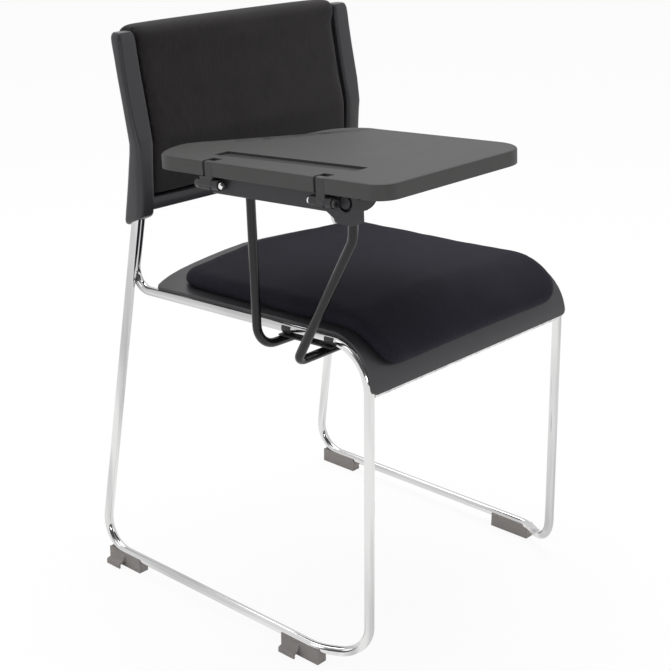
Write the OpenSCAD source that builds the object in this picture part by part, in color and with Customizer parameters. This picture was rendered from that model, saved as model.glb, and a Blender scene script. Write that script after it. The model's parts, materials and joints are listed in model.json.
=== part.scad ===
// Stacking side chair with a lift-up writing tablet on the sitter's right.
// Millimetres, +Z up, the chair faces -Y, the floor is Z = 0.
// Lengths below are in chair coordinates: X = 0 is the plane between the two
// side frames and Y = 0 is the rear corner of the floor rails. The whole chair
// is then moved so that the origin is the middle of its footprint.

/* [Frame] */
// diameter of the chromed side rods
rod_d = 14; // [12:0.5:15]
// distance between the two floor rails, centre to centre
track_w = 500; // [480:5:520]
// distance between the two front legs at the floor, centre to centre
front_w = 433.6; // [420:0.2:440]
// length of the straight floor rail up to its inward turn
rail_l = 465; // [440:5:480]
// forward lean of the rear legs in degrees
leg_lean = 8.9; // [7.5:0.1:10]
// height of the rail's centre above the floor
rail_h = 22; // [20:0.5:26]
// height of the seat rod's centre at the front corner above the floor
seat_rod_h = 471.4; // [450:0.2:480]
// upward tilt of the seat rod to the front in degrees
seat_tilt = 2.1; // [1:0.1:4]

/* [Seat] */
// thickness of the plastic seat shell
shell_t = 4; // [3:0.5:5]
// thickness of the seat pad at its shoulder
pad_h = 18; // [12:1:22]
// extra height of the seat pad in the middle
pad_crown = 4; // [2:1:8]

/* [Back] */
// height of the back pad's top above the floor
back_top = 838; // [820:1:850]
// height of the back's bottom bar above the floor
back_bottom = 577; // [565:1:590]

/* [Tablet] */
// width of the tablet across
tab_w = 296; // [270:2:310]
// length of the tablet
tab_l = 425; // [400:5:440]
// depth of the tablet's skirt
tab_t = 20; // [16:1:24]
// upward tilt of the tablet to the front in degrees
tab_tilt = 3.3; // [1:0.1:5]
// diameter of the black support rods
sup_d = 12.5; // [11:0.5:13]

/* [Hidden] */
$fn = 48;
gap = 0.3;
rr = rod_d / 2;
sr = sup_d / 2;
hw = track_w / 2;
fw = front_w / 2;

// lean of the legs per millimetre of height
lean_y = tan(leg_lean);
lean_x = 0.0449;
front_x = 0.0059;
front_y = 0.0164;
front_leg_y = -(rail_l + 63.4);

// corner points of one side rod, for the +X side
function leg_pt(z) = [hw - lean_x * (z - rail_h), -lean_y * (z - rail_h), z];
function fleg_pt(z) = [fw - front_x * (z - rail_h), front_leg_y + front_y * (z - rail_h), z];
pair = [-12.9, 6.4, 0];
rod_end_z = 606;
bend_rear = 45;
bend_kink = 60;
bend_front = 42;
bend_seat = 62;
bend_small = 30;
seat_front = fleg_pt(seat_rod_h);
// height at which the sloping seat rod meets the second upright
seat_rear_z = (seat_rod_h - tan(seat_tilt) * (lean_y * rail_h + pair[1] - seat_front[1])) /
  (1 - tan(seat_tilt) * lean_y);
seat_rear = leg_pt(seat_rear_z) + pair;
side_path = [
  leg_pt(rod_end_z),
  [hw, 0, rail_h],
  [hw, -rail_l, rail_h],
  [fw, front_leg_y, rail_h],
  seat_front,
  seat_rear,
  leg_pt(rod_end_z) + pair
];
side_bend = [0, bend_rear, bend_kink, bend_front, bend_seat, bend_small, 0];

// side view of the seat rod: the bend's centre and a point on the rod
turn = 90 + seat_tilt - atan(front_y);
tan_l = bend_seat * tan(turn / 2);
bend_y = seat_front[1] + tan_l * cos(seat_tilt);
bend_z = seat_front[2] - tan_l * sin(seat_tilt);
ctr_y = bend_y - bend_seat * sin(seat_tilt);
ctr_z = bend_z - bend_seat * cos(seat_tilt);
function rod_z(y) = bend_z - tan(seat_tilt) * (y - bend_y);
function rod_x(y) = seat_front[0] + (seat_rear[0] - seat_front[0]) *
  (y - seat_front[1]) / (seat_rear[1] - seat_front[1]);

// tablet frame: origin on the top face at the outer edge
tab_o = [-285, -382, 676.5 + rail_h];
axis_u = 4;
axis_w = -31;
knuckle_r = 6.8;
face_u = 11.3;
stop_deg = 110;
rear_u = 20;
front_u = 27;
rear_v = -22.5;
front_v = 146.5;
rod_v = 148.4;
strap_w = 13.3;
strap_rear = -84.4;
strap_front = 112;
function tab_pt(u, v, w) = tab_o + [u, -v * cos(tab_tilt) + w * sin(tab_tilt),
  v * sin(tab_tilt) + w * cos(tab_tilt)];

// support rod corners
plate_top = -rr - 1.25;
plate_t = 2.3;
sup_drop = plate_top - plate_t - 0.2 - sr;
sup_rear_y = -370;
sup_front_y = -438;
rear_top = tab_pt(rear_u, rear_v, -30);
front_top = tab_pt(front_u, rod_v, -30);
sup_rear_path = [
  rear_top,
  [rear_top[0], sup_rear_y, rod_z(sup_rear_y + 6) + sup_drop],
  [-186, sup_rear_y - 1.5, rod_z(sup_rear_y + 6) + sup_drop]
];
sup_front_path = [
  front_top,
  front_top + [0, 0.6, -51],
  [-262, sup_front_y, rod_z(sup_front_y - 8) + sup_drop - 6.8],
  [-190, sup_front_y - 10, rod_z(sup_front_y - 10) + sup_drop - 0.3]
];

// floor glides
foot_l = 71;
foot_w = 17;
boss_out = 12;
foot_ys = [-19, -398.5];

// footprint middle
x_lo = tab_o[0] + axis_u - 8.6;
x_hi = hw + foot_w / 2 + boss_out;
y_lo = tab_pt(0, 221, -tab_t)[1];
y_hi = -bend_rear * (tan((90 + leg_lean) / 2) - 1) + rr;
org = [(x_lo + x_hi) / 2, (y_lo + y_hi) / 2, 0];

function unit(v) = v / norm(v);

// one straight length of rod
module seg(a, b, r) {
  z = unit(b - a);
  x = unit(abs(z[0]) < 0.9 ? cross([1, 0, 0], z) : cross([0, 1, 0], z));
  y = cross(z, x);
  multmatrix([[x[0], y[0], z[0], a[0]], [x[1], y[1], z[1], a[1]],
    [x[2], y[2], z[2], a[2]], [0, 0, 0, 1]])
    cylinder(h = norm(b - a), r = r);
}

// rod along a list of corners with a bend radius at each, as one swept skin
function bend_pts(p, q, s, rad) = let (d1 = unit(q - p), d2 = unit(s - q), ang = acos(d1 * d2),
  n = unit(d2 - (d1 * d2) * d1), c = q - d1 * rad * tan(ang / 2) + n * rad,
  k = max(2, ceil(ang / 11)))
  [for (i = [0 : k]) let (a = ang * i / k) [c - n * rad * cos(a) + d1 * rad * sin(a),
    d1 * cos(a) + n * sin(a)]];
function rod_line(p, b) = let (last = len(p) - 1) concat([[p[0], unit(p[1] - p[0])]],
  [for (i = [1 : last - 1]) each bend_pts(p[i - 1], p[i], p[i + 1], b[i])],
  [[p[last], unit(p[last] - p[last - 1])]]);
// side direction carried along the line without twist
function carry(l, i, x) = i >= len(l) ? [] : let (d = l[i][1], y = unit(x - (x * d) * d))
  concat([y], carry(l, i + 1, y));
module rod_along(p, b, r, n = 24) {
  l = rod_line(p, b);
  x = carry(l, 0, cross(l[0][1], [0.3, 0.9, 0.2]));
  rr2 = r / sqrt(cos(180 / n));
  skin([for (i = [0 : len(l) - 1]) let (y = cross(l[i][1], x[i])) [for (j = [0 : n - 1])
    l[i][0] + rr2 * (x[i] * cos(360 * j / n) + y * sin(360 * j / n))]]);
}

function flip(f) = [for (q = f) [for (i = [len(q) - 1 : -1 : 0]) q[i]]];

// closed skin over rings of equal length, with flat ends
module skin(rings) {
  n = len(rings[0]);
  m = len(rings);
  pts = [for (r = rings) for (p = r) p];
  sides = [for (i = [0 : m - 2]) for (j = [0 : n - 1]) each [
    [i * n + j, i * n + (j + 1) % n, (i + 1) * n + j],
    [i * n + (j + 1) % n, (i + 1) * n + (j + 1) % n, (i + 1) * n + j]]];
  caps = [[for (j = [n - 1 : -1 : 0]) j], [for (j = [0 : n - 1]) (m - 1) * n + j]];
  polyhedron(points = pts, faces = flip(concat(sides, caps)), convexity = 6);
}

// closed sheet between two grids of points
module sheet(top, bot) {
  m = len(top);
  n = len(top[0]);
  k = m * n;
  pts = concat([for (r = top) for (p = r) p], [for (r = bot) for (p = r) p]);
  up = [for (i = [0 : m - 2]) for (j = [0 : n - 2]) each [
    [i * n + j, (i + 1) * n + j, i * n + j + 1],
    [i * n + j + 1, (i + 1) * n + j, (i + 1) * n + j + 1]]];
  down = [for (f = up) [f[0] + k, f[2] + k, f[1] + k]];
  e0 = [for (j = [0 : n - 2]) each [[j, j + 1, k + j], [j + 1, k + j + 1, k + j]]];
  b = (m - 1) * n;
  e1 = [for (j = [0 : n - 2]) each [[b + j, k + b + j, b + j + 1],
    [b + j + 1, k + b + j, k + b + j + 1]]];
  e2 = [for (i = [0 : m - 2]) each [[i * n, k + i * n, (i + 1) * n],
    [(i + 1) * n, k + i * n, k + (i + 1) * n]]];
  e3 = [for (i = [0 : m - 2]) each [[i * n + n - 1, (i + 1) * n + n - 1, k + i * n + n - 1],
    [(i + 1) * n + n - 1, k + (i + 1) * n + n - 1, k + i * n + n - 1]]];
  polyhedron(points = pts, faces = flip(concat(up, down, e0, e1, e2, e3)), convexity = 6);
}

// value at x in a table of pairs with rising first numbers
function tab(t, x) = x <= t[0][0] ? t[0][1] : x >= t[len(t) - 1][0] ? t[len(t) - 1][1] :
  [for (i = [0 : len(t) - 2]) if (x >= t[i][0] && x < t[i + 1][0])
    t[i][1] + (t[i + 1][1] - t[i][1]) * (3 * pow((x - t[i][0]) / (t[i + 1][0] - t[i][0]), 2)
    - 2 * pow((x - t[i][0]) / (t[i + 1][0] - t[i][0]), 3)) * 0.35
    + (t[i + 1][1] - t[i][1]) * (x - t[i][0]) / (t[i + 1][0] - t[i][0]) * 0.65][0];

// seat surface: fraction f along the straight part, or angle a on the bend
function rear_edge(t) = -70 - 46 * pow(abs(t), 1.3);
function lift(f, t) = 10.6 * (1 - pow(t, 8)) * pow(max(0, 1 - f * 4), 2);
function lift_at(x, y) = let (t = min(1, abs(x) / shell_half(y)), y0 = rear_edge(t))
  lift((y - y0) / (bend_y - y0), t);
function seat_flat(f, t, h, half, y0) = let (y = y0 + f * (bend_y - y0))
  [half * t, y + h * sin(seat_tilt), rod_z(y) + h * cos(seat_tilt) + lift_at(half * t, y)];
function seat_bend(a, t, h, half) =
  [half * t, ctr_y - (bend_seat + h) * sin(a - seat_tilt),
   ctr_z + (bend_seat + h) * cos(a - seat_tilt)];

// half width of the shell along its length
shell_edge = fw - 1.3;
function shell_half(y) = shell_edge + 6.5 * pow(max(0, (y + 330) / 225), 2);
function corner_in(d, r) = d >= r ? 0 : r - sqrt(max(0, r * r - (r - d) * (r - d)));

shell_f = [0, 0.012, 0.04, 0.09, 0.16, 0.26, 0.4, 0.55, 0.7, 0.85, 1];
shell_a = [8, 16, 24, 32, 40, 48, 56, 64, 72, 80, 85, 88, 89.8];
shell_c = [-1, -0.985, -0.94, -0.86, -0.74, -0.58, -0.4, -0.2, 0,
  0.2, 0.4, 0.58, 0.74, 0.86, 0.94, 0.985, 1];
function lip_in(a) = corner_in((89.8 - a) * PI / 180 * (bend_seat + rr), 8) - a / 22;
function shell_grid(h) = concat(
  [for (f = shell_f) [for (t = shell_c)
    seat_flat(f, t, h, shell_half(rear_edge(1) + f * (bend_y - rear_edge(1)))
      - corner_in(f * (rear_edge(1) - bend_y), 5), rear_edge(t))]],
  [for (a = shell_a) [for (t = shell_c) seat_bend(a, t, h, shell_edge - lip_in(a))]]);

module seat_shell() {
  low = rr + 0.2;
  difference() {
    sheet(shell_grid(low + shell_t), shell_grid(low));
    for (s = [-1, 1], y = tab_ys) translate([s * tab_x(y), y, rod_z(y)])
      cylinder(h = rr + 3.4, r = 2.1);
  }
}

// seat pad
pad_half = fw - 14.8;
tuck = 1.6;
pad_f = [0, 0.004, 0.014, 0.03, 0.055, 0.09, 0.14, 0.22, 0.34, 0.48, 0.62, 0.76, 0.88, 1];
pad_end = 69.3;
pad_a = [8, 16, 24, 32, 40, 47, 54, 59.5, 64, 67, 68.7, pad_end];
pad_c = [-1, -0.997, -0.985, -0.96, -0.92, -0.85, -0.74, -0.58, -0.4, -0.2, 0,
  0.2, 0.4, 0.58, 0.74, 0.85, 0.92, 0.96, 0.985, 0.997, 1];
pad_tail = pad_end * PI / 180 * (bend_seat + rr + shell_t);
function pad_rear(t) = rear_edge(t * 0.94) - 22 + 8 * t * t;
pad_run = pad_rear(1) - bend_y + 6.6;
function pad_side(d0, d1) = pad_half - corner_in(d0, 44) - corner_in(d1, 36);
function shoulder(e, r) = e >= r ? 1 : sqrt(max(0, 1 - pow(1 - e / r, 2)));
function pad_top(d0, d1, t) = let (half = pad_side(d0, d1))
  (pad_h + pad_crown * (1 - t * t) * min(1, d0 / 90) * min(1, d1 / 90)) *
  shoulder(half * (1 - abs(t)) + 0.35, 15) * shoulder(d0 + 0.35, 30) *
  shoulder(d1 + 0.35, 15);
function pad_grid(k) = let (low = rr + 0.2 + shell_t + 0.45) concat(
  [for (f = pad_f) let (d0 = f * pad_run, d1 = (1 - f) * pad_run + pad_tail)
    [for (t = pad_c) seat_flat(f, t, low + k * pad_top(d0, d1, t),
      pad_side(d0, d1) - (1 - k) * tuck, pad_rear(t))]],
  [for (a = pad_a) let (d0 = pad_run + a, d1 = (pad_end - a) * PI / 180 * (bend_seat + rr))
    [for (t = pad_c) seat_bend(a, t, low + k * pad_top(d0, d1, t),
      pad_side(d0, d1) - (1 - k) * tuck)]]);
module seat_pad() sheet(pad_grid(1), pad_grid(0));

// back: side views of the shell and the pad, as height and Y
back_rear = [[530, -60], [562, -66], [597, -72], [638, -79], [676, -86], [705, -84],
  [737, -77], [789, -65.5], [828, -57]];
side_front = [[530, -92], [545, -101], [562, -105], [597, -108], [650, -109], [676, -109],
  [711, -101], [767, -89], [800, -83], [828, -79]];
pad_edge = [[590, -98], [600, -102], [638, -106], [676, -107], [702, -101], [737, -92],
  [790, -81], [838, -74]];
function side_out(z) = 236 + 3 * min(1, max(0, (z - 660) / 50)) - 1.5 * max(0, (z - 710) / 120);
side_in = 205;

// one ring of the side piece at height z, tilted by the front drop
function round4(x0, x1, y0, y1, r, z, zf) = [for (c = [[x1, y1, 0], [x0, y1, 90],
  [x0, y0, 180], [x1, y0, 270]]) for (a = [0, 30, 60, 90])
  let (sx = c[0] == x1 ? -1 : 1, sy = c[1] == y1 ? -1 : 1,
    px = c[0] + sx * r * (1 - abs(cos(c[2] + a))),
    py = c[1] + sy * r * (1 - abs(sin(c[2] + a))))
  [px, py, z + zf * (y1 - py) / (y1 - y0)]];

side_z = [[553.5, 0.72, 14], [554.5, 0.87, 14], [557, 0.96, 14], [561, 1, 13], [575, 1, 6],
  [597, 1, 0], [620, 1, 0], [645, 1, 0], [662, 1, 0], [676, 1, 0], [690, 1, 0], [711, 1, 0],
  [740, 1, 0], [767, 1, 0], [795, 1, 0], [815, 1, 0], [822, 0.97, 0], [826.5, 0.88, 0],
  [829, 0.72, 0]];
function side_ring(q) = let (z = q[0], k = q[1], yr = tab(back_rear, z), yf = tab(side_front, z),
  xo = side_out(z), mx = (xo + side_in) / 2, my = (yr + yf) / 2,
  a = (xo - side_in) / 2 * k, b = (yr - yf) / 2 * k)
  round4(mx - a, mx + a, my - b, my + b, min(a, b) * 0.62, z, q[2]);

module side_piece() skin([for (q = side_z) side_ring(q)]);

panel_t = 4.5;
panel_z = [for (i = [0 : 14]) back_bottom + 4 + i * (back_top - 24 - back_bottom) / 14];
module back_panel() {
  cols = [for (i = [-4 : 4]) i / 4];
  sheet([for (z = panel_z) [for (t = cols) [-t * (side_in + 8), tab(back_rear, z) - 3
      - panel_t, z]]],
    [for (z = panel_z) [for (t = cols) [-t * (side_in + 8), tab(back_rear, z) - 3, z]]]);
}

bar_h = 20;
module bottom_bar() {
  ring = [for (a = [0 : 22.5 : 337.5]) [
    -90 + 16 * sign(cos(a)) * pow(abs(cos(a)), 0.45),
    back_bottom + bar_h / 2 + bar_h / 2 * sign(sin(a)) * pow(abs(sin(a)), 0.45)]];
  skin([for (x = [-side_in - 6, side_in + 6]) [for (p = ring) [x, p[0], p[1]]]]);
}

module back_shell() {
  difference() {
    union() {
      for (s = [0, 1]) mirror([s, 0, 0]) side_piece();
      back_panel();
      bottom_bar();
    }
    for (s = [0, 1]) mirror([s, 0, 0]) {
      side_low = back_bottom - 57;
      d = unit(leg_pt(rod_end_z) - leg_pt(side_low));
      seg(leg_pt(side_low), leg_pt(rod_end_z) + d * 0.5, rr + 0.15);
      seg(leg_pt(side_low) + pair, leg_pt(rod_end_z) + pair + d * 0.5, rr + 0.15);
      translate([218, tab(back_rear, 612) + 6, 612]) rotate([90, 0, 0])
        cylinder(h = 9.8, r = 4.4);
    }
  }
}

// back pad with a roll over the panel's top edge
bp_half = side_in - 0.8;
bp_z = [0, 0.01, 0.03, 0.07, 0.14, 0.24, 0.36, 0.48, 0.6, 0.72, 0.84, 0.94];
bp_c = [-1, -0.99, -0.965, -0.92, -0.84, -0.7, -0.5, -0.25, 0, 0.25, 0.5, 0.7, 0.84, 0.92,
  0.965, 0.99, 1];
bp_lo = back_bottom + bar_h + 1;
bp_hi = back_top - 20;
function bp_front(z, t) = let (e = bp_half * (1 - abs(t)), d = z - bp_lo)
  tab(pad_edge, z) + 5 - (5 + 6 * (1 - t * t)) * shoulder(e + 0.2, 16) * shoulder(d + 0.2, 16);
function bp_back(z) = tab(back_rear, z) - 3 - panel_t - 0.75;
module back_pad() {
  roll_y = -65;
  front_y0 = tab(pad_edge, bp_hi);
  top = concat(
    [for (f = bp_z) let (z = bp_lo + f * (bp_hi - bp_lo)) [for (t = bp_c)
      [-bp_half * t, bp_front(z, t), z]]],
    [for (a = [0 : 15 : 180]) [for (t = bp_c) let (e = bp_half * (1 - abs(t)),
      k = 0.86 + 0.14 * shoulder(e + 0.2, 12), f = cos(a) > 0 ? roll_y - front_y0 + 4 : 35)
      [-bp_half * t, roll_y - f * cos(a) * k, bp_hi + 19.8 * sin(a) * k]]]);
  low = concat(
    [for (f = bp_z) let (z = bp_lo + f * (bp_hi - bp_lo)) [for (t = bp_c)
      [-(bp_half - tuck) * t, bp_back(z), z]]],
    [for (a = [0 : 15 : 180]) [for (t = bp_c)
      [-(bp_half - tuck) * t, bp_back(bp_hi) + (8.5 * a / 180), bp_hi + 2.5 * sin(a)]]]);
  sheet(top, low);
}

// side frames
module side_frame() rod_along(side_path, side_bend, rr);

// cross rods between the two frames
cross_y = -118;
module front_cross() {
  p = fleg_pt(seat_rod_h - 64.9);
  x = p[0] - rr - 0.1;
  seg([-x, p[1] + 1, p[2]], [x, p[1] + 1, p[2]], 6);
}
module rear_cross() {
  x = rod_x(cross_y) - rr - 0.1;
  seg([-x, cross_y, rod_z(cross_y)], [x, cross_y, rod_z(cross_y)], 6);
}

// tabs welded to the seat rods, with a screw up into the shell
tab_ys = [-165, -348];
function tab_x(y) = rod_x(y) - 17.3;
module seat_tabs() for (s = [-1, 1], y = tab_ys) translate([0, y, rod_z(y)])
  difference() {
    translate([s * tab_x(y) - 10, -10, rr - 4]) cube([20, 20, 3]);
    translate([s * tab_x(y), 0, 0]) cylinder(h = 20, r = 2.2);
    translate([s * rod_x(y), 20, -0.73]) rotate([90, 0, 0]) cylinder(h = 40, r = rr + 0.1);
  }
module seat_screws() for (s = [-1, 1], y = tab_ys) translate([s * tab_x(y), y, rod_z(y)]) {
  translate([0, 0, rr - 7]) cylinder(h = 2.8, r1 = 3.6, r2 = 4.6);
  translate([0, 0, rr - 5]) cylinder(h = 8, r = 2);
}

// floor glides, clipped on the rails from below
rear_run = [[hw, -150, rail_h], [hw, 0, rail_h], leg_pt(150)];
front_run = [[hw, -300, rail_h], [hw, -rail_l, rail_h], [fw, front_leg_y, rail_h]];
module foot(y0, path, bend) {
  difference() {
    union() {
      translate([hw - foot_w / 2, y0 - foot_l, 0]) cube([foot_w, foot_l, rail_h + 1]);
      // lip flared out at the bottom, hollow below, closed at its rear end
      translate([hw + foot_w / 2, y0 - 6, 0]) rotate([90, 0, 0]) linear_extrude(height = 30)
        polygon([[-1, 20], [0.1, 19], [2.2, 12.5], [5.4, 9.6], [boss_out - 2.6, 8.6],
          [boss_out - 0.8, 8], [boss_out, 6.8], [boss_out, 0.2], [boss_out - 2.6, 0.2],
          [boss_out - 2.6, 5.6], [4, 6.8], [1.2, 9.4], [-1, 14]]);
      translate([hw + foot_w / 2 - 1, y0 - 12.4, 0.3]) cube([boss_out - 0.9, 6, 7.4]);
    }
    rod_along(path, [0, bend, 0], rr + 0.12);
  }
}

// tablet outline as u (inboard) and v (forward)
function arc(c, r, a0, a1, n) = [for (i = [0 : n]) let (a = a0 + (a1 - a0) * i / n)
  c + r * [cos(a), sin(a)]];
tv1 = 221;
tv0 = tv1 - tab_l;
curve_c = [[101, -186], [105, -166], [112, -150], [122, -137], [134, -127], [149, -119],
  [166, -113.5], [184, -110], [203, -108], [221, -106]];
tab_line = concat(
  arc([tab_w - 50, tv1 - 50], 50, 0, 90, 9),
  arc([26, tv1 - 26], 26, 90, 180, 8),
  [[0, -150], [0.8, -160], [3, -169], [7.5, -176.5], [14, -182.5], [24, -189.5], [36, -196],
    [49, -200.5], [62, -203.2], [74, tv0], [84, -201.3], [92, -195]],
  curve_c,
  arc([tab_w - 62, -44], 62, 282, 360, 8));

// the outline moved in by d
function inset(p, d) = let (n = len(p)) [for (i = [0 : n - 1])
  let (a = unit(p[(i + 1) % n] - p[(i + n - 1) % n])) p[i] + d * [-a[1], a[0]]];
function ring3(p, w) = [for (q = p) [q[0], q[1], w]];

module tab_place() translate(tab_o) rotate([-tab_tilt, 0, 0]) mirror([0, 1, 0]) children();

// a straight skirt and a top with rounded shoulders
module tab_body(low) {
  translate([0, 0, low]) linear_extrude(height = -low - 3.5) polygon(tab_line);
  skin([ring3(tab_line, -4), ring3(tab_line, -3), ring3(inset(tab_line, 0.9), -0.9),
    ring3(inset(tab_line, 3), 0)]);
}

plate = 5;
skirt = 4.5;
arm_pad_w = -9.2;
module tablet_top() tab_place() difference() {
  union() {
    difference() {
      tab_body(-tab_t);
      translate([0, 0, -tab_t - 1]) linear_extrude(height = tab_t + 1 - plate)
        polygon(inset(tab_line, skirt));
    }
    // ribs, the blocks under the arms and the block that meets the support
    intersection() {
      translate([0, 0, -tab_t + 5]) linear_extrude(height = tab_t - 5 - plate / 2)
        polygon(inset(tab_line, skirt - 1));
      union() {
        for (u = [92, 160, 228]) translate([u - 1.25, tv0, -tab_t]) cube([2.5, tab_l, tab_t - 1]);
        for (v = [-150, -20, 60, 176]) translate([0, v - 1.25, -tab_t])
          cube([tab_w, 2.5, tab_t - 1]);
      }
    }
    for (v = [strap_rear, strap_front]) translate([20, v - 6, arm_pad_w])
      cube([50, strap_w + 12, -arm_pad_w - 1]);
    translate([34, 137, -tab_t]) cube([28, 30, tab_t - 1]);
  }
  // pen groove, a little out of parallel
  translate([0, 0, -3]) linear_extrude(height = 4) polygon(concat(
    arc(groove_at(3, -10.2), 3, groove_a + 90, groove_a + 180, 6),
    arc(groove_at(3, 10.2), 3, groove_a + 180, groove_a + 270, 6),
    arc(groove_at(235, 10.2), 3, groove_a - 90, groove_a, 6),
    arc(groove_at(235, -10.2), 3, groove_a, groove_a + 90, 6)));
  // notches for the arms, open behind them
  for (v = [strap_rear, strap_front]) translate([-5, v - 3.6, -tab_t - 1])
    cube([25.6, strap_w + 4, tab_t + 2]);
  for (v = [strap_rear, strap_front], u = screw_u) translate([u, v + strap_w / 2, -14])
    cylinder(h = 9.2, r = 1.6);
}
screw_u = [36, 54];
groove_a = 87.1;
function groove_at(along, across) = [49.6, -105]
  + along * [cos(groove_a), sin(groove_a)] + across * [sin(groove_a), -cos(groove_a)];

// arm: a post in the notch of the edge, and a strip along below the tablet
module arm(v0, k0, k1) tab_place() difference() {
  union() {
    translate([0, v0 + strap_w, 0]) rotate([90, 0, 0]) linear_extrude(height = strap_w)
      polygon([[0.2, axis_w + 9], [0.2, -3.4], [0.9, -1.6], [2.6, -0.5], [4.4, -0.2],
        [7.4, -0.2], [8.2, -1], [8.2, arm_pad_w - 0.3], [61, arm_pad_w - 0.3],
        [63, arm_pad_w - 2.4], [61, arm_pad_w - 3.6], [5.2, arm_pad_w - 3.6],
        [5.2, axis_w + 9]]);
    translate([0, k1, 0]) rotate([90, 0, 0]) linear_extrude(height = k1 - k0)
      polygon([[0.2, axis_w], [0.2, axis_w + 9], [5.2, axis_w + 9], [8, axis_w + 4.6],
        [9.4, axis_w]]);
    translate([0, max(k1, v0 + strap_w), 0]) rotate([90, 0, 0])
      linear_extrude(height = max(k1, v0 + strap_w) - min(k0, v0))
      polygon([[0.2, axis_w + 7.6], [0.2, axis_w + 10.4], [5.2, axis_w + 10.4],
        [5.2, axis_w + 7.6]]);
    translate([axis_u, k1, axis_w]) rotate([90, 0, 0]) cylinder(h = k1 - k0, r = knuckle_r);
    translate([axis_u, k1 - 0.4, axis_w]) rotate([90, 0, 0]) rotate(-stop_deg)
      linear_extrude(height = k1 - k0 - 0.8)
      polygon([[4.4, 0], [face_u - axis_u - gap, 0], [face_u - axis_u - gap, -5.2],
        [1.2, -5.8], [2.6, -4.2]]);
  }
  translate([axis_u, k1 + 1, axis_w]) rotate([90, 0, 0]) cylinder(h = k1 - k0 + 2, r = pin_r + 0.05);
  for (u = screw_u) translate([u, v0 + strap_w / 2, -20]) cylinder(h = 12, r = 2);
}
pin_r = 3;

module tablet_screws() tab_place()
  for (v = [strap_rear, strap_front], u = screw_u)
    translate([u, v + strap_w / 2, arm_pad_w - 3.8]) {
      translate([0, 0, -2]) cylinder(h = 2, r1 = 2.8, r2 = 3.8);
      translate([0, 0, -0.5]) cylinder(h = 8, r = 1.5);
    }

// bracket under the tablet's outer edge
lug_rear = [-73.2, -61];
lug_a = [101, 111.5];
lug_b = [126.5, 137.1];
knuckle_rear = [-95.5, lug_rear[0] - gap];
knuckle_front = [lug_a[1] + gap, lug_b[0] - gap];
bar_top = -23;
bar_low = -45;
plug_v = 147.2;
plug_w = -30.3;
module lug(k) {
  translate([axis_u, k[1], axis_w]) rotate([90, 0, 0]) cylinder(h = k[1] - k[0], r = knuckle_r);
  translate([axis_u, k[0], axis_w - knuckle_r + 0.6])
    cube([face_u - axis_u + 2, k[1] - k[0], 2 * knuckle_r - 1.2]);
}
module tablet_bracket() difference() {
  tab_place() bracket_body();
  // seats of the two rods
  seg(rear_top + [0, 0, 0.4], sup_rear_path[1], sr + 0.15);
  seg(front_top + [0, 0, 0.4], sup_front_path[1], sr + 0.15);
}
module bracket_body() difference() {
  union() {
    // bar with an eased lower edge
    translate([0, front_v, 0]) rotate([90, 0, 0]) linear_extrude(height = front_v + 84)
      polygon([[face_u, bar_top], [face_u, bar_low + 2], [face_u + 2, bar_low],
        [27, bar_low], [29, bar_low + 2], [29, bar_top]]);
    // head round the front rod, then the narrower socket with its gusset
    translate([face_u - 0.6, front_v - 13, -42.4]) cube([27, 28.3, 42.4 + bar_top - 0.3]);
    translate([face_u + 1.4, front_v - 8.4, -58.5]) cube([22.2, 19.4, 20]);
    translate([face_u + 1.4, 0, 0]) rotate([90, 0, 90]) linear_extrude(height = 17.7)
      polygon([[114.6, bar_low + 1.2], [front_v - 5, bar_low + 1.2], [front_v - 5, -58.1],
        [front_v - 8.2, -58.1]]);
    translate([face_u + 1, front_v + 7.5, -35]) cube([7.4, 7.4, 14.3]);
    // quarter-round rest below the tablet
    translate([0, front_v + 15.1, 0]) rotate([90, 0, 0]) linear_extrude(height = 20)
      polygon(concat([[28.6, -20.7], [28.6, -42]],
        [for (a = [0 : 10 : 90]) [36 + 22 * sin(a), -42 + 19.2 * (1 - cos(a))]],
        [[58, -20.7]]));
    lug(lug_rear);
    lug(lug_a);
    lug(lug_b);
  }
  for (k = [lug_rear, lug_a, lug_b]) translate([axis_u, k[1] + 1, axis_w])
    rotate([90, 0, 0]) cylinder(h = k[1] - k[0] + 2, r = pin_r + 0.02);
  // round pocket on the outer side, with the hole of its plug
  translate([face_u - 2, 149.4, -30.2]) rotate([0, 90, 0]) cylinder(h = 7.2, r = 11.4);
  translate([face_u, plug_v, plug_w]) rotate([0, 90, 0]) cylinder(h = 7.9, r = 2.6);
  // notch in the front and the seat of the rubber pad
  translate([face_u + 8.7, front_v + 9, -27.6]) cube([8.4, 8, 10]);
  translate([37.7, front_v - 3.3, -22.6]) cube([19.6, 16.6, 5]);
}

// pivot screws: a sleeve with a domed head and a screw from the other end
module pivot_sleeve(v0, v1, dir) tab_place() translate([axis_u, v0, axis_w])
  rotate([dir > 0 ? -90 : 90, 0, 0]) difference() {
    union() {
      translate([0, 0, -0.5]) cylinder(h = abs(v1 - v0) + 0.5, r = pin_r);
      translate([0, 0, -0.2]) rotate_extrude() polygon(concat([[0, 0], [5, 0], [5, -2.8]],
        [for (a = [0 : 10 : 80]) [5 * cos(a), -2.8 - 3.2 * sin(a)]], [[0, -6]]));
    }
    translate([0, 0, abs(v1 - v0) - 12]) cylinder(h = 13, r = 1.9);
  }
module pivot_screw(v0, dir, head_r, head_l, hex) tab_place() translate([axis_u, v0, axis_w])
  rotate([dir > 0 ? -90 : 90, 0, 0]) difference() {
    union() {
      translate([0, 0, -0.5]) cylinder(h = 10, r = 1.8);
      translate([0, 0, -head_l]) cylinder(h = head_l - 0.1, r = head_r);
    }
    if (hex) translate([0, 0, -head_l - 0.1]) cylinder(h = 3.2, r = 2.6, $fn = 6);
  }

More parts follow.
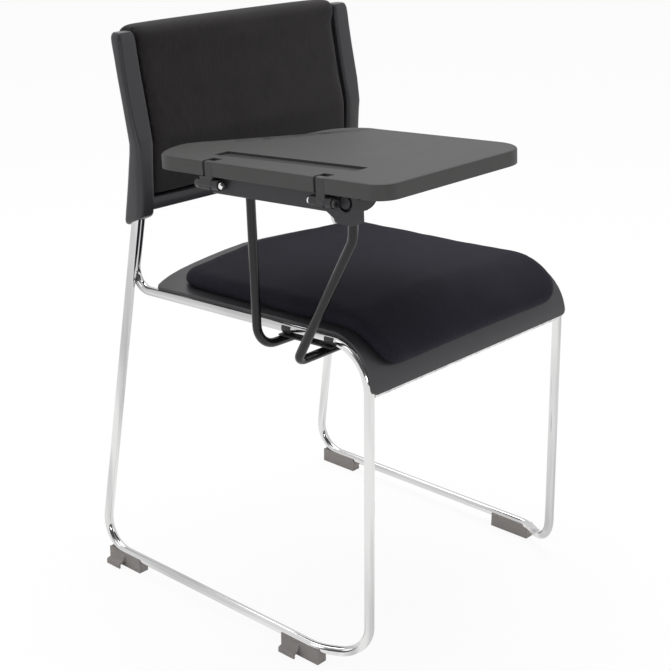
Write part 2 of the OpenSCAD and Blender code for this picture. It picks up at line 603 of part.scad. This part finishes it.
// round plug in the pocket beside the front rod
module socket_plug() tab_place() translate([face_u + 0.3, plug_v, plug_w]) rotate([0, 90, 0])
  union() {
    cylinder(h = 1, r1 = 7.4, r2 = 8.4);
    translate([0, 0, 0.9]) cylinder(h = 3.7, r = 8.4);
    translate([0, 0, 4.5]) cylinder(h = 2.8, r = 2.5);
  }

// rubber pad on the quarter-round rest
module rest_pad() tab_place() translate([38, front_v - 3, -22.3]) cube([19, 16, 2]);

// support rods
module support_rod(path, bends) rod_along(path, bends, sr);

// plate under the seat rod and the clips round the rod
clip_rear_y = -380;
clip_front_y = -457;
module on_rod(y) translate([-rod_x(y), y, rod_z(y)]) rotate([-seat_tilt, 0, 0]) children();
module clamp_plate() difference() {
  on_rod(-415) translate([-9.5, -49, plate_top - plate_t]) cube([41, 96, plate_t]);
  for (y = spacer_ys) translate([-spacer_x, y, rod_z(y) - 30]) cylinder(h = 40, r = 3.2);
}
seat_run = [seat_rear, seat_front, fleg_pt(seat_rod_h - 121)];
module rod_clip(y) difference() {
  on_rod(y) difference() {
    union() {
      translate([0, 7.5, 0]) rotate([90, 0, 0]) cylinder(h = 15, r = rr + 1.15);
      translate([0, -7.5, -rr - 1.15]) cube([14, 15, 1.07]);
    }
    translate([-rr - 3, -9, 4.2]) cube([20, 18, 12]);
    translate([0, -9, -rr + 0.01]) cube([16, 18, 20]);
  }
  mirror([1, 0, 0]) rod_along(seat_run, [0, bend_seat, 0], rr + 0.1);
}

spacer_ys = [-402, -432];
spacer_x = rod_x(-415) - 23;
module clamp_spacers() for (y = spacer_ys) translate([-spacer_x, y, rod_z(y)]) difference() {
  translate([0, 0, plate_top + 0.6]) cylinder(h = rr - plate_top - 0.8, r = 6.5);
  translate([0, 0, plate_top - 1]) cylinder(h = rr - plate_top + 4, r = 3.2);
}
module clamp_screws() for (y = spacer_ys) translate([-spacer_x, y, rod_z(y)]) difference() {
  union() {
    translate([0, 0, plate_top - plate_t - 3.9]) cylinder(h = 3.2, r1 = 4.6, r2 = 5.6);
    translate([0, 0, plate_top - plate_t - 1]) cylinder(h = rr - plate_top + plate_t + 0.9, r = 3);
  }
  translate([0, 0, plate_top - plate_t - 4]) cylinder(h = 2.2, r = 2, $fn = 6);
}

// screws at the back of the two side pieces
module back_screws() for (s = [-1, 1]) {
  yb = tab(back_rear, 612);
  translate([s * 218, yb - 0.5, 612]) rotate([90, 0, 0]) difference() {
    cylinder(h = 3, r = 4.2);
    translate([0, 0, -0.1]) cylinder(h = 1.6, r = 2, $fn = 6);
  }
}

module place() translate(-org) children();

color([0.82, 0.83, 0.85]) place() mirror([1, 0, 0]) side_frame();  // side_frame_right
color([0.82, 0.83, 0.85]) place() side_frame();  // side_frame_left
color([0.82, 0.83, 0.85]) place() front_cross();  // front_cross_rod
color([0.82, 0.83, 0.85]) place() rear_cross();  // rear_cross_rod
color([0.7, 0.7, 0.72]) place() seat_tabs();
color([0.5, 0.5, 0.5]) place() seat_screws();
color([0.1, 0.1, 0.11]) place() seat_shell();
color([0.05, 0.05, 0.06]) place() seat_pad();
color([0.1, 0.1, 0.11]) place() back_shell();
color([0.05, 0.05, 0.05]) place() back_pad();
color([0.3, 0.3, 0.3]) place() back_screws();
color([0.3, 0.28, 0.26]) place() mirror([1, 0, 0]) foot(foot_ys[0], rear_run, bend_rear);  // foot_rear_right
color([0.3, 0.28, 0.26]) place() mirror([1, 0, 0]) foot(foot_ys[1], front_run, bend_kink);  // foot_front_right
color([0.3, 0.28, 0.26]) place() foot(foot_ys[0], rear_run, bend_rear);  // foot_rear_left
color([0.3, 0.28, 0.26]) place() foot(foot_ys[1], front_run, bend_kink);  // foot_front_left
color([0.2, 0.2, 0.2]) place() tablet_top();
color([0.12, 0.12, 0.12]) place() arm(strap_rear, knuckle_rear[0], knuckle_rear[1]);  // hinge_arm_rear
color([0.12, 0.12, 0.12]) place() arm(strap_front, knuckle_front[0], knuckle_front[1]);  // hinge_arm_front
color([0.6, 0.6, 0.6]) place() tablet_screws();
color([0.1, 0.1, 0.1]) place() tablet_bracket();
color([0.8, 0.8, 0.8]) place() pivot_sleeve(lug_rear[1] + 0.1, knuckle_rear[0], -1);  // pivot_sleeve_rear
color([0.12, 0.12, 0.12]) place() pivot_screw(knuckle_rear[0] - 0.3, 1, 6.6, 7.4, false);  // pivot_screw_rear
color([0.8, 0.8, 0.8]) place() pivot_sleeve(lug_a[0] - 0.1, lug_b[1] - 0.5, 1);  // pivot_sleeve_front
color([0.12, 0.12, 0.12]) place() pivot_screw(lug_b[1] + 0.2, -1, 5.3, 4.4, true);  // pivot_screw_front
color([0.1, 0.1, 0.1]) place() socket_plug();
color([0.05, 0.05, 0.05]) place() rest_pad();
color([0.08, 0.08, 0.08]) place() support_rod(sup_rear_path, [0, 32, 0]);  // support_rod_rear
color([0.08, 0.08, 0.08]) place() support_rod(sup_front_path, [0, 30, 12, 0]);  // support_rod_front
color([0.1, 0.1, 0.1]) place() clamp_plate();
color([0.1, 0.1, 0.1]) place() rod_clip(clip_rear_y);  // rod_clip_rear
color([0.1, 0.1, 0.1]) place() rod_clip(clip_front_y);  // rod_clip_front
color([0.2, 0.2, 0.2]) place() clamp_spacers();
color([0.5, 0.5, 0.5]) place() clamp_screws();
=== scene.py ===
import json
import math

import bmesh
import bpy
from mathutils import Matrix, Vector


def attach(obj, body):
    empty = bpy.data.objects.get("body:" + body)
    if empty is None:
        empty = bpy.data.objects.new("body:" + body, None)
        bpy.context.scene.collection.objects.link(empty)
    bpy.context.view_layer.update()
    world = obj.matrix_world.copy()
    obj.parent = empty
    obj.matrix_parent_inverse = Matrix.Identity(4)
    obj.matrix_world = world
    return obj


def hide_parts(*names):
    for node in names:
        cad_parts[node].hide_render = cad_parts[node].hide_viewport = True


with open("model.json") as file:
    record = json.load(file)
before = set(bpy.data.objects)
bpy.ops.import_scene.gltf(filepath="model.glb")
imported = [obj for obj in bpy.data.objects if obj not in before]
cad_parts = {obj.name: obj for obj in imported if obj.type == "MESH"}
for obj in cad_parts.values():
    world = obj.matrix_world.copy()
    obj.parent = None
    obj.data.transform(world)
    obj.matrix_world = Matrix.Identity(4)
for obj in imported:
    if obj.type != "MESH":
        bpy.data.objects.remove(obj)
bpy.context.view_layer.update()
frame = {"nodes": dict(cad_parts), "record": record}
nodes = frame["nodes"]
scene = bpy.context.scene
scene.view_settings.view_transform = "Standard"


# The middle of the footprint lies at minus these, in the part's own millimetres.
SHIFT_X, SHIFT_Y = 9.55, 302.19


def spot(x, y, z):
    """A place in the part's own millimetres, given in metres from the middle of the footprint."""
    return Vector(((x + SHIFT_X) / 1000, (y + SHIFT_Y) / 1000, z / 1000))


# Viewpoint

def set_viewpoint():
    """The camera, where the photograph was taken from."""
    glass = bpy.data.cameras.new("viewpoint")
    glass.lens, glass.sensor_width = 76.446, 36
    stand = bpy.data.objects.new("viewpoint", glass)
    scene.collection.objects.link(stand)
    turn, rise = math.radians(-47.673), math.radians(20.059)
    back = Vector((math.sin(turn) * math.cos(rise), -math.cos(turn) * math.cos(rise),
                   math.sin(rise)))
    stand.rotation_mode = "QUATERNION"
    stand.rotation_quaternion = (-back).to_track_quat("-Z", "Y")
    stand.location = (-1.49322, -1.33408, 1.11163)
    scene.camera = stand


set_viewpoint()


# Finishes

class Wire:
    """One output of a finish, ready to stand in a sum."""

    def __init__(self, finish, socket):
        self.finish, self.socket = finish, socket

    def sum(self, kind, a, b):
        return self.finish.put("ShaderNodeMath", {"operation": kind}, {0: a, 1: b})

    def __add__(self, other):
        return self.sum("ADD", self, other)

    def __radd__(self, other):
        return self.sum("ADD", other, self)

    def __sub__(self, other):
        return self.sum("SUBTRACT", self, other)

    def __rsub__(self, other):
        return self.sum("SUBTRACT", other, self)

    def __mul__(self, other):
        return self.sum("MULTIPLY", self, other)

    def __rmul__(self, other):
        return self.sum("MULTIPLY", other, self)


class Finish:
    """A surface finish made of nodes round one Principled shader."""

    def __init__(self, name, **fixed):
        self.made = bpy.data.materials.new(name)
        self.made.use_nodes = True
        self.tree = self.made.node_tree
        self.tree.nodes.clear()
        self.skin = self.tree.nodes.new("ShaderNodeBsdfPrincipled")
        end = self.tree.nodes.new("ShaderNodeOutputMaterial")
        self.tree.links.new(self.skin.outputs[0], end.inputs[0])
        for label, value in fixed.items():
            self.feed(self.skin.inputs[label.replace("_", " ")], value)

    def feed(self, socket, value):
        """Links a wire to the socket, or sets a plain value on it."""
        if isinstance(value, Wire):
            self.tree.links.new(value.socket, socket)
        else:
            socket.default_value = value

    def put(self, kind, settings=None, sockets=None, out=0):
        """Adds a node, sets it up, fills its sockets and returns one of its outputs."""
        node = self.tree.nodes.new(kind)
        for label, value in (settings or {}).items():
            if label == "stops":
                for stop, (where, level) in zip(node.color_ramp.elements, value):
                    stop.position, stop.color = where, (level, level, level, 1)
            else:
                setattr(node, label, value)
        for label, value in (sockets or {}).items():
            self.feed(node.inputs[label], value)
        return Wire(self, node.outputs[out])

    def place(self, stretch=(1, 1, 1)):
        """Object coordinates in metres, stretched along each axis."""
        where = self.put("ShaderNodeTexCoord", out="Object")
        return self.put("ShaderNodeMapping", None, {"Vector": where, "Scale": stretch})

    def cloud(self, size_mm, detail=2, stretch=(1, 1, 1)):
        """Soft uneven value of about 0 to 1 with blots of that size."""
        return self.put("ShaderNodeTexNoise", None,
                        {"Vector": self.place(stretch), "Scale": 500 / size_mm,
                         "Detail": detail, "Roughness": 0.55})

    def ramp(self, value, low, high):
        """0 below low, 1 above high, and even between them."""
        return self.put("ShaderNodeValToRGB", {"stops": [(low, 0.0), (high, 1.0)]},
                        {"Fac": value})

    def blend(self, share, one, other):
        """From colour one to colour other."""
        return self.put("ShaderNodeMix", {"data_type": "RGBA"},
                        {0: share, 6: (*one, 1), 7: (*other, 1)}, out=2)

    def relief(self, height, depth_mm, strength):
        """Fine relief that is seen only in the light."""
        self.feed(self.skin.inputs["Normal"],
                  self.put("ShaderNodeBump", None,
                           {"Height": height, "Distance": depth_mm / 1000,
                            "Strength": strength}))


def shade(colour, factor):
    """The same colour, darker or lighter."""
    return tuple(c * factor for c in colour)


def chrome_plate():
    """Bright plating with a faint haze, painted reflection streaks along the rods and a few
    flecks.
    """
    f = Finish("chrome_plate", Metallic=1.0)
    haze = f.cloud(30, 3, (1, 1, 0.3))
    fleck = f.ramp(f.cloud(1.6, 2), 0.60, 0.74)
    lengthwise = f.ramp(f.cloud(5, 2, (1, 0.03, 0.03)), 0.36, 0.66)
    # Painted reflection: lighter and darker streaks along the rods, set in the base colour.
    f.feed(f.skin.inputs["Base Color"], f.blend(lengthwise, (0.78, 0.78, 0.775), (0.50, 0.50, 0.50)))
    f.feed(f.skin.inputs["Roughness"], 0.055 + 0.05 * haze + 0.10 * fleck)
    f.relief(f.cloud(22, 1), 0.05, 0.5)
    return f.made


def polished_head():
    """The domed heads of the pivot pins."""
    f = Finish("polished_head", Metallic=1.0, Base_Color=(0.88, 0.88, 0.88, 1))
    f.feed(f.skin.inputs["Roughness"], 0.10 + 0.10 * f.cloud(2))
    f.relief(f.cloud(0.8), 0.02, 0.3)
    return f.made


def machined_steel():
    """Turned screws, a little worn."""
    f = Finish("machined_steel", Metallic=1.0)
    wear = f.cloud(2.5, 3)
    f.feed(f.skin.inputs["Base Color"], f.blend(wear, (0.62, 0.62, 0.63), (0.42, 0.42, 0.43)))
    f.feed(f.skin.inputs["Roughness"], 0.26 + 0.2 * wear)
    f.relief(f.cloud(0.5, 1, (1, 1, 6)), 0.02, 0.5)
    return f.made


def moulded(name, colour, rough, grain_mm=0.9, depth_mm=0.04, tone=0.16, gloss=0.5, rubbed=1.0):
    """Moulded plastic: a fine even grain, faint flow marks and rubbed patches.

    It returns the finish itself, so that more can be added to it."""
    f = Finish(name, IOR=1.48, Specular_IOR_Level=gloss)
    flow = f.cloud(90, 3)
    rub = f.ramp(f.cloud(14, 4), 0.42, 0.72)
    f.feed(f.skin.inputs["Base Color"],
           f.blend(flow, shade(colour, 1 - tone), shade(colour, 1 + tone)))
    f.feed(f.skin.inputs["Roughness"], rough + rubbed * (0.06 * flow - 0.07 * rub))
    f.relief(f.put("ShaderNodeTexVoronoi", {"feature": "SMOOTH_F1"},
                   {"Vector": f.place(), "Scale": 1000 / grain_mm}) + 0.4 * f.cloud(0.5),
             depth_mm, 0.35)
    return f


# The tablet's tilt and corner, and the turn, start and size of the pen groove that takes painted
# shade, in metres.
TABLET_TILT = math.radians(3.3)
TABLET_CORNER = spot(-285, -382, 698.5)
GROOVE_TURN = math.radians(87.1)
GROOVE_ASIDE, GROOVE_BEHIND = 0.0496, 0.105
GROOVE_LENGTH, GROOVE_WIDTH, GROOVE_DEPTH = 0.238, 0.026, 0.0026
EDGE_ROOM = 0.0005


def shade_painted_groove(f, colour):
    """The floor of the tablet's pen groove, darker than the writing surface: painted shade in the
    recess.
    """
    across = Vector((1, 0, 0))
    up = Vector((0, math.sin(TABLET_TILT), math.cos(TABLET_TILT)))
    on = Vector((0, -math.cos(TABLET_TILT), math.sin(TABLET_TILT)))
    side = across * math.sin(GROOVE_TURN) - on * math.cos(GROOVE_TURN)
    along = across * math.cos(GROOVE_TURN) + on * math.sin(GROOVE_TURN)
    start = TABLET_CORNER + across * GROOVE_ASIDE - on * GROOVE_BEHIND
    at = f.put("ShaderNodeTexCoord", out="Object")

    def reach(way, home):
        """Distance along way from home."""
        return f.put("ShaderNodeVectorMath", {"operation": "DOT_PRODUCT"},
                     {0: at, 1: way}, out="Value") - home.dot(way)

    def below(value, limit):
        """1 where the value is less than the limit, otherwise 0."""
        return f.put("ShaderNodeMath", {"operation": "LESS_THAN"}, {0: value, 1: limit})

    def unsigned(value):
        """The value without its sign."""
        return f.put("ShaderNodeMath", {"operation": "ABSOLUTE"}, {0: value})

    deep = below(reach(up, TABLET_CORNER), -GROOVE_DEPTH)
    near = below(unsigned(reach(side, start)), GROOVE_WIDTH / 2)
    half = GROOVE_LENGTH / 2
    within = below(unsigned(reach(along, start) - half), half + EDGE_ROOM)
    # Painted shade: the groove's floor gets a darker base colour, standing in for the shade that
    # falls in the recess.
    socket = f.skin.inputs["Base Color"]
    plain = Wire(f, socket.links[0].from_socket)
    f.feed(socket, f.put("ShaderNodeMix", {"data_type": "RGBA"},
                         {0: deep * near * within, 6: plain, 7: (*colour, 1)}, out=2))
    return f


def painted(name, colour, rough):
    """Powder-like paint on steel: soft ripple, a few rubbed spots."""
    f = Finish(name, Coat_Roughness=0.18, Specular_IOR_Level=0.35)
    rub = f.ramp(f.cloud(5, 4), 0.62, 0.80)
    f.feed(f.skin.inputs["Base Color"], f.blend(rub, colour, shade(colour, 1.9)))
    f.feed(f.skin.inputs["Roughness"], rough + 0.10 * f.cloud(9, 3))
    f.feed(f.skin.inputs["Coat Weight"], 0.10 + 0.1 * rub)
    f.relief(f.cloud(0.7, 2) + 0.5 * f.cloud(3), 0.03, 0.3)
    return f.made


def rubber():
    """The pad on which the tablet rests."""
    f = Finish("soft_rubber")
    f.feed(f.skin.inputs["Base Color"], f.blend(f.cloud(4), (0.02, 0.02, 0.02),
                                                (0.032, 0.032, 0.032)))
    f.feed(f.skin.inputs["Roughness"], 0.75 + 0.1 * f.cloud(2))
    f.relief(f.cloud(0.6), 0.05, 0.5)
    return f.made


THREAD_PITCH_MM = 1.7


def upholstery(name, colour, sheen, gloss):
    """Plain weave on the cloth's own map: threads over and under, slubs and faint shading."""
    f = Finish(name, Specular_IOR_Level=gloss, Sheen_Weight=sheen, Sheen_Roughness=0.45,
               Sheen_Tint=(0.75, 0.75, 0.8, 1))
    cloth = f.put("ShaderNodeUVMap", {"uv_map": "cloth"})
    across = f.put("ShaderNodeSeparateXYZ", None, {0: cloth}, out=0)
    along = f.put("ShaderNodeSeparateXYZ", None, {0: cloth}, out=1)
    turns = math.pi * 1000 / THREAD_PITCH_MM
    wave_a = f.put("ShaderNodeMath", {"operation": "SINE"}, {0: across * turns})
    wave_b = f.put("ShaderNodeMath", {"operation": "SINE"}, {0: along * turns})
    over = 0.5 + 0.5 * (wave_a * wave_b)
    warp = wave_a * wave_a * over
    weft = wave_b * wave_b * (1 - over)
    thread = warp + weft
    lengthwise = f.put("ShaderNodeMapping", None, {"Vector": cloth, "Scale": (1, 0.12, 1)})
    slub = f.put("ShaderNodeTexNoise", None, {"Vector": lengthwise, "Scale": 380.0, "Detail": 3.0})
    blot = f.cloud(26, 3)
    tone = f.ramp(0.34 * thread + 0.42 * slub + 0.24 * blot, 0.16, 0.66)
    f.feed(f.skin.inputs["Base Color"], f.blend(tone, shade(colour, 0.45), shade(colour, 1.5)))
    f.feed(f.skin.inputs["Roughness"], 0.86 + 0.12 * slub)
    f.relief(thread + 0.35 * slub, 0.22, 0.6)
    return f.made


FINISH = {
    "frame_chrome": chrome_plate(),
    "steel_screw": machined_steel(),
    "black_screw": painted("black_screw_coat", (0.045, 0.045, 0.046), 0.32),
    "shell_plastic": moulded("shell_plastic", (0.0385, 0.0362, 0.0402), 0.33, gloss=0.43).made,
    "seat_fabric": upholstery("seat_cloth", (0.0152, 0.0142, 0.0212), 0.05, 0.12),
    "back_fabric": upholstery("back_cloth", (0.0215, 0.0195, 0.0194), 0.14, 0.22),
    "foot_plastic": moulded("glide_plastic", (0.270, 0.248, 0.236), 0.62, grain_mm=1.2,
                            depth_mm=0.10, tone=0.14).made,
    # The tablet's finish, with painted shade on the floor of its pen groove.
    "tablet_plastic": shade_painted_groove(
        moulded("tablet_plastic", (0.064, 0.064, 0.0625), 0.54, grain_mm=0.8, depth_mm=0.05,
                tone=0.04, gloss=0.26, rubbed=0.3),
        (0.026, 0.026, 0.026)).made,
    "black_metal": painted("black_strip_coat", (0.034, 0.032, 0.033), 0.34),
    "bracket_plastic": moulded("bracket_plastic", (0.030, 0.0285, 0.032), 0.40, gloss=0.34).made,
    "polished_head": polished_head(),
    "rod_black": painted("rod_coat", (0.0065, 0.0065, 0.0072), 0.11),
    "rest_rubber": rubber(),
}
SLOT = {row["node"]: row["material_slot"] for row in frame["record"]["subparts"]}


def wear_finish(piece, slot):
    """Gives the piece the finish of that material slot."""
    piece.data.materials.clear()
    piece.data.materials.append(FINISH[slot])


for name, node in nodes.items():
    wear_finish(node, SLOT[name])


# Softened edges

def smooth_group(angle):
    """Geometry nodes that round the shading wherever faces meet at less than angle."""
    group = bpy.data.node_groups.new(f"smooth_{angle}", "GeometryNodeTree")
    group.interface.new_socket("Geometry", in_out="INPUT", socket_type="NodeSocketGeometry")
    group.interface.new_socket("Geometry", in_out="OUTPUT", socket_type="NodeSocketGeometry")
    start = group.nodes.new("NodeGroupInput")
    end = group.nodes.new("NodeGroupOutput")
    bend = group.nodes.new("GeometryNodeInputMeshEdgeAngle")
    test = group.nodes.new("FunctionNodeCompare")
    test.operation = "LESS_THAN"
    test.inputs[1].default_value = math.radians(angle)
    faces = group.nodes.new("GeometryNodeSetShadeSmooth")
    edges = group.nodes.new("GeometryNodeSetShadeSmooth")
    faces.domain, edges.domain = "FACE", "EDGE"
    link = group.links.new
    link(start.outputs[0], faces.inputs["Geometry"])
    link(faces.outputs[0], edges.inputs["Geometry"])
    link(bend.outputs["Unsigned Angle"], test.inputs[0])
    link(test.outputs[0], edges.inputs["Shade Smooth"])
    link(edges.outputs[0], end.inputs[0])
    return group


SMOOTH = {angle: smooth_group(angle) for angle in (30, 35, 40, 42)}
SAME_PLACE = 0.00002


def ease(piece, edge_mm, angle, curved=False):
    """Joins the loose faces, rounds the edges sharper than angle and smooths the shading.

    A curved piece keeps its own faces, because joining them would flatten it."""
    join = piece.modifiers.new("join", "WELD")
    join.merge_threshold = SAME_PLACE
    if edge_mm and not curved:
        flat = piece.modifiers.new("flat", "DECIMATE")
        flat.decimate_type = "DISSOLVE"
        flat.angle_limit = math.radians(0.4)
    if edge_mm:
        edge = piece.modifiers.new("edge", "BEVEL")
        edge.width = edge_mm / 1000
        edge.segments = 2
        edge.limit_method = "ANGLE"
        edge.angle_limit = math.radians(angle)
        edge.use_clamp_overlap = True
    turn = piece.modifiers.new("turn", "NODES")
    turn.node_group = SMOOTH[angle]
    if edge_mm:
        even = piece.modifiers.new("even", "WEIGHTED_NORMAL")
        even.keep_sharp = True


for name in ("side_frame_right", "side_frame_left", "support_rod_rear", "support_rod_front",
             "front_cross_rod", "rear_cross_rod"):
    ease(nodes[name], 0, 40)
for name in ("seat_shell", "back_shell"):
    ease(nodes[name], 0.5, 42, curved=True)
for name in ("foot_rear_right", "foot_front_right", "foot_rear_left", "foot_front_left"):
    ease(nodes[name], 0.8, 30)
ease(nodes["tablet_top"], 0.5, 40)
for name in ("tablet_bracket", "hinge_arm_rear", "hinge_arm_front"):
    ease(nodes[name], 0.45, 35)
for name in ("clamp_plate", "rod_clip_rear", "rod_clip_front", "rest_pad", "seat_tabs"):
    ease(nodes[name], 0.25, 35)
for name in ("seat_screws", "back_screws", "tablet_screws", "clamp_screws", "clamp_spacers",
             "socket_plug", "pivot_screw_rear", "pivot_screw_front", "pivot_sleeve_rear",
             "pivot_sleeve_front"):
    ease(nodes[name], 0.2, 35)


# Upholstery

def loose_copy(name, new_name):
    """A merged copy of a CAD solid, as the start of a soft piece."""
    work = bmesh.new()
    work.from_mesh(nodes[name].data)
    bmesh.ops.remove_doubles(work, verts=work.verts, dist=SAME_PLACE)
    bmesh.ops.recalc_face_normals(work, faces=work.faces)
    mesh = bpy.data.meshes.new(new_name)
    work.to_mesh(mesh)
    work.free()
    piece = bpy.data.objects.new(new_name, mesh)
    scene.collection.objects.link(piece)
    return piece


def settle(piece):
    """Applies what the modifiers make of the piece."""
    shape = piece.evaluated_get(bpy.context.evaluated_depsgraph_get())
    mesh = bpy.data.meshes.new_from_object(shape)
    piece.modifiers.clear()
    piece.data = mesh


CLOTH_STEPS, PRESSURE, SMOOTHINGS = 20, 4.0, 7


def puff(piece, voxel_mm, cap_mm):
    """Foam under a taut cover: remesh, blow up softly in cloth, cap the swelling, smooth."""
    grid = piece.modifiers.new("grid", "REMESH")
    grid.mode, grid.voxel_size, grid.adaptivity = "VOXEL", voxel_mm / 1000, 0
    settle(piece)
    before = [v.co.copy() for v in piece.data.vertices]
    cloth = piece.modifiers.new("cloth", "CLOTH")
    cloth.settings.use_pressure = True
    cloth.settings.uniform_pressure_force = PRESSURE
    cloth.settings.effector_weights.gravity = 0
    cloth.settings.quality = 5
    cloth.point_cache.frame_start, cloth.point_cache.frame_end = 1, CLOTH_STEPS
    for step in range(1, CLOTH_STEPS + 1):
        scene.frame_set(step)
    settle(piece)
    scene.frame_set(1)
    most = cap_mm / 1000
    for v, start in zip(piece.data.vertices, before):
        move = v.co - start
        v.co = start + (move * (most / move.length) if move.length > most else move)
    work = bmesh.new()
    work.from_mesh(piece.data)
    for _ in range(SMOOTHINGS):
        bmesh.ops.smooth_vert(work, verts=work.verts, factor=0.5, use_axis_x=True,
                              use_axis_y=True, use_axis_z=True)
    work.to_mesh(piece.data)
    work.free()
    fine = piece.modifiers.new("fine", "SUBSURF")
    fine.levels = fine.render_levels = 1
    settle(piece)
    piece.data.polygons.foreach_set("use_smooth", [True] * len(piece.data.polygons))


def map_cloth(piece, along):
    """A cloth map in metres: across the chair, and along the way the cloth runs."""
    sheet = piece.data.uv_layers.new(name="cloth")
    for face in piece.data.polygons:
        side = abs(face.normal.x) > 0.75
        for corner in face.loop_indices:
            at = piece.data.vertices[piece.data.loops[corner].vertex_index].co
            sheet.data[corner].uv = (at.z if side else at.x, along(at))


# Where the covers turn: the seat's at its front roll, the back's over its top, in metres.
SEAT_BEND, SEAT_BEND_RADIUS = spot(0, -457.8, 407.3), 0.09
BACK_ROLL, BACK_ROLL_RADIUS, BACK_HALF = spot(0, -65, 818), 0.03, 0.005


def seat_run(at):
    """How far along the seat a place lies, on the flat and round the front roll."""
    before = SEAT_BEND.y - at.y
    if before < 0:
        return at.y
    return SEAT_BEND.y - SEAT_BEND_RADIUS * math.atan2(before, at.z - SEAT_BEND.z)


def back_run(at):
    """How far up the back a place lies: up its front, over the top and down behind."""
    top = BACK_ROLL.z
    if at.z < top:
        return at.z if at.y < BACK_ROLL.y + BACK_HALF else 2 * top - at.z
    return top + BACK_ROLL_RADIUS * math.atan2(at.z - top, BACK_ROLL.y - at.y)


def upholster(pad, name, voxel_mm, cap_mm, run, fabric):
    """The soft piece that stands for a pad's solid, with its cloth."""
    piece = loose_copy(pad, name)
    puff(piece, voxel_mm, cap_mm)
    map_cloth(piece, run)
    wear_finish(piece, fabric)
    return piece


seat_cushion = upholster("seat_pad", "seat_cushion", 4.2, 3.0, seat_run, "seat_fabric")
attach(seat_cushion, "chair")
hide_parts("seat_pad")

back_cushion = upholster("back_pad", "back_cushion", 3.6, 2.0, back_run, "back_fabric")
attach(back_cushion, "chair")
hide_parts("back_pad")


# Room

FLOOR_RADIUS, FLOOR_DROP, FLOOR_WHITE = 40, 0.0002, 0.91


def lay_floor():
    """A pale floor that takes the shadow and shows white round it."""
    work = bmesh.new()
    bmesh.ops.create_circle(work, cap_ends=True, segments=64, radius=FLOOR_RADIUS)
    mesh = bpy.data.meshes.new("floor")
    work.to_mesh(mesh)
    work.free()
    floor = bpy.data.objects.new("floor", mesh)
    floor.location.z = -FLOOR_DROP
    scene.collection.objects.link(floor)
    f = Finish("pale_floor", Roughness=0.9, Specular_IOR_Level=0.0,
               Base_Color=(0.92, 0.92, 0.92, 1))
    bright = f.tree.nodes.new("ShaderNodeEmission")
    mix = f.tree.nodes.new("ShaderNodeMixShader")
    end = next(n for n in f.tree.nodes if n.type == "OUTPUT_MATERIAL")
    seen = (f.put("ShaderNodeLightPath", out="Is Camera Ray")
            + f.put("ShaderNodeLightPath", out="Is Glossy Ray")
            + f.put("ShaderNodeLightPath", out="Is Transmission Ray"))
    f.feed(mix.inputs[0], FLOOR_WHITE * seen)
    f.tree.links.new(f.skin.outputs[0], mix.inputs[1])
    f.tree.links.new(bright.outputs[0], mix.inputs[2])
    f.tree.links.new(mix.outputs[0], end.inputs[0])
    mesh.materials.append(f.made)


OPEN_SIDE, SKY, DIM = (-0.69, -0.63, 0.12), 0.86, 0.10
FADE_STARTS, FADE_ENDS = 0.20, 0.86


def light_room():
    """White all round, with a dim patch on the side where the room is open."""
    world = bpy.data.worlds.new("studio")
    scene.world = world
    world.use_nodes = True
    tree = world.node_tree
    tree.nodes.clear()
    end = tree.nodes.new("ShaderNodeOutputWorld")
    plain = tree.nodes.new("ShaderNodeBackground")
    lit = tree.nodes.new("ShaderNodeBackground")
    mix = tree.nodes.new("ShaderNodeMixShader")
    path = tree.nodes.new("ShaderNodeLightPath")
    where = tree.nodes.new("ShaderNodeTexCoord")
    toward = tree.nodes.new("ShaderNodeVectorMath")
    toward.operation = "DOT_PRODUCT"
    toward.inputs[1].default_value = Vector(OPEN_SIDE).normalized()
    fade = tree.nodes.new("ShaderNodeValToRGB")
    fade.color_ramp.interpolation = "EASE"
    for stop, at, level in zip(fade.color_ramp.elements, (FADE_STARTS, FADE_ENDS), (SKY, DIM)):
        stop.position, stop.color = at, (level, level, level * 1.01, 1)
    plain.inputs[0].default_value = (1, 1, 1, 1)
    link = tree.links.new
    link(where.outputs["Generated"], toward.inputs[0])
    link(toward.outputs["Value"], fade.inputs[0])
    link(fade.outputs[0], lit.inputs[0])
    link(path.outputs["Is Camera Ray"], mix.inputs[0])
    link(lit.outputs[0], mix.inputs[1])
    link(plain.outputs[0], mix.inputs[2])
    link(mix.outputs[0], end.inputs[0])


def hang_lamp(name, at, to, size, power):
    """A round lamp that looks at a place."""
    lamp = bpy.data.lights.new(name, "AREA")
    lamp.shape, lamp.size, lamp.energy = "DISK", size, power
    hung = bpy.data.objects.new(name, lamp)
    scene.collection.objects.link(hung)
    hung.location = at
    hung.rotation_mode = "QUATERNION"
    hung.rotation_quaternion = (Vector(to) - Vector(at)).to_track_quat("-Z", "Y")


lay_floor()
light_room()
hang_lamp("overhead", (0.45, 0.7, 3.4), (0, 0, 0.3), 3.2, 58)
hang_lamp("left_side", (-3.0, 0.8, 2.1), (0, 0, 0.5), 1.8, 9)
hang_lamp("front_side", (0.8, -3.0, 1.9), (0, 0, 0.5), 1.8, 7)
hang_lamp("corner", (-2.2, -1.9, 0.78), (0, 0, 0.65), 0.5, 8)
